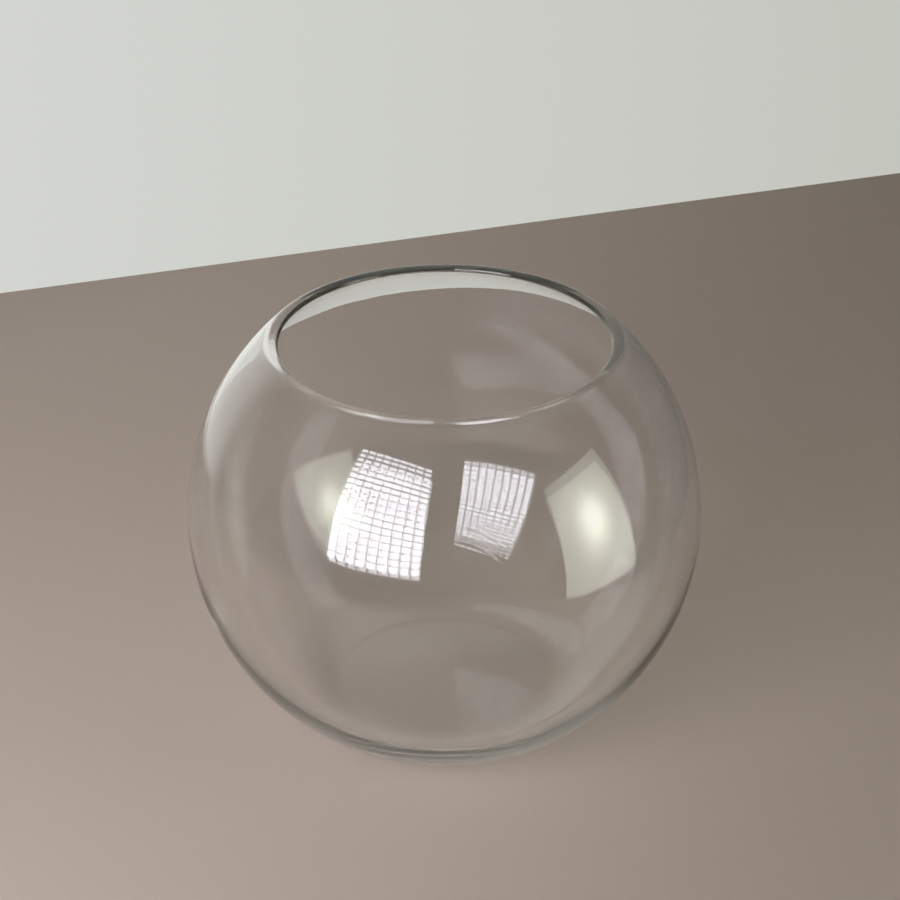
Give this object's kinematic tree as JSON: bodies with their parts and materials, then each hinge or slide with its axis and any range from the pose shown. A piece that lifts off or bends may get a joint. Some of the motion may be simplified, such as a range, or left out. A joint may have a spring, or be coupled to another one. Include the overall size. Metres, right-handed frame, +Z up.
{
  "type": "rose bowl vase",
  "caption": "Clear blown glass rose bowl: a thin-walled ball with a wide, smooth-rimmed mouth and a flattened foot, for holding water and cut flowers.",
  "frame": {"origin": "on the resting plane, under the middle of the foot", "axes": "+Z up along the bowl's axis of revolution, from the foot to the mouth; X and Y are any two level directions at right angles"},
  "size_m": [0.15, 0.15, 0.1191],
  "materials": {
    "clear_glass": "clear, colourless soda-lime glass, smooth and fire-polished, with a faint grey-green edge"
  },
  "bodies": {
    "root": {"glass_bowl": "clear_glass"}
  },
  "joints": []
}
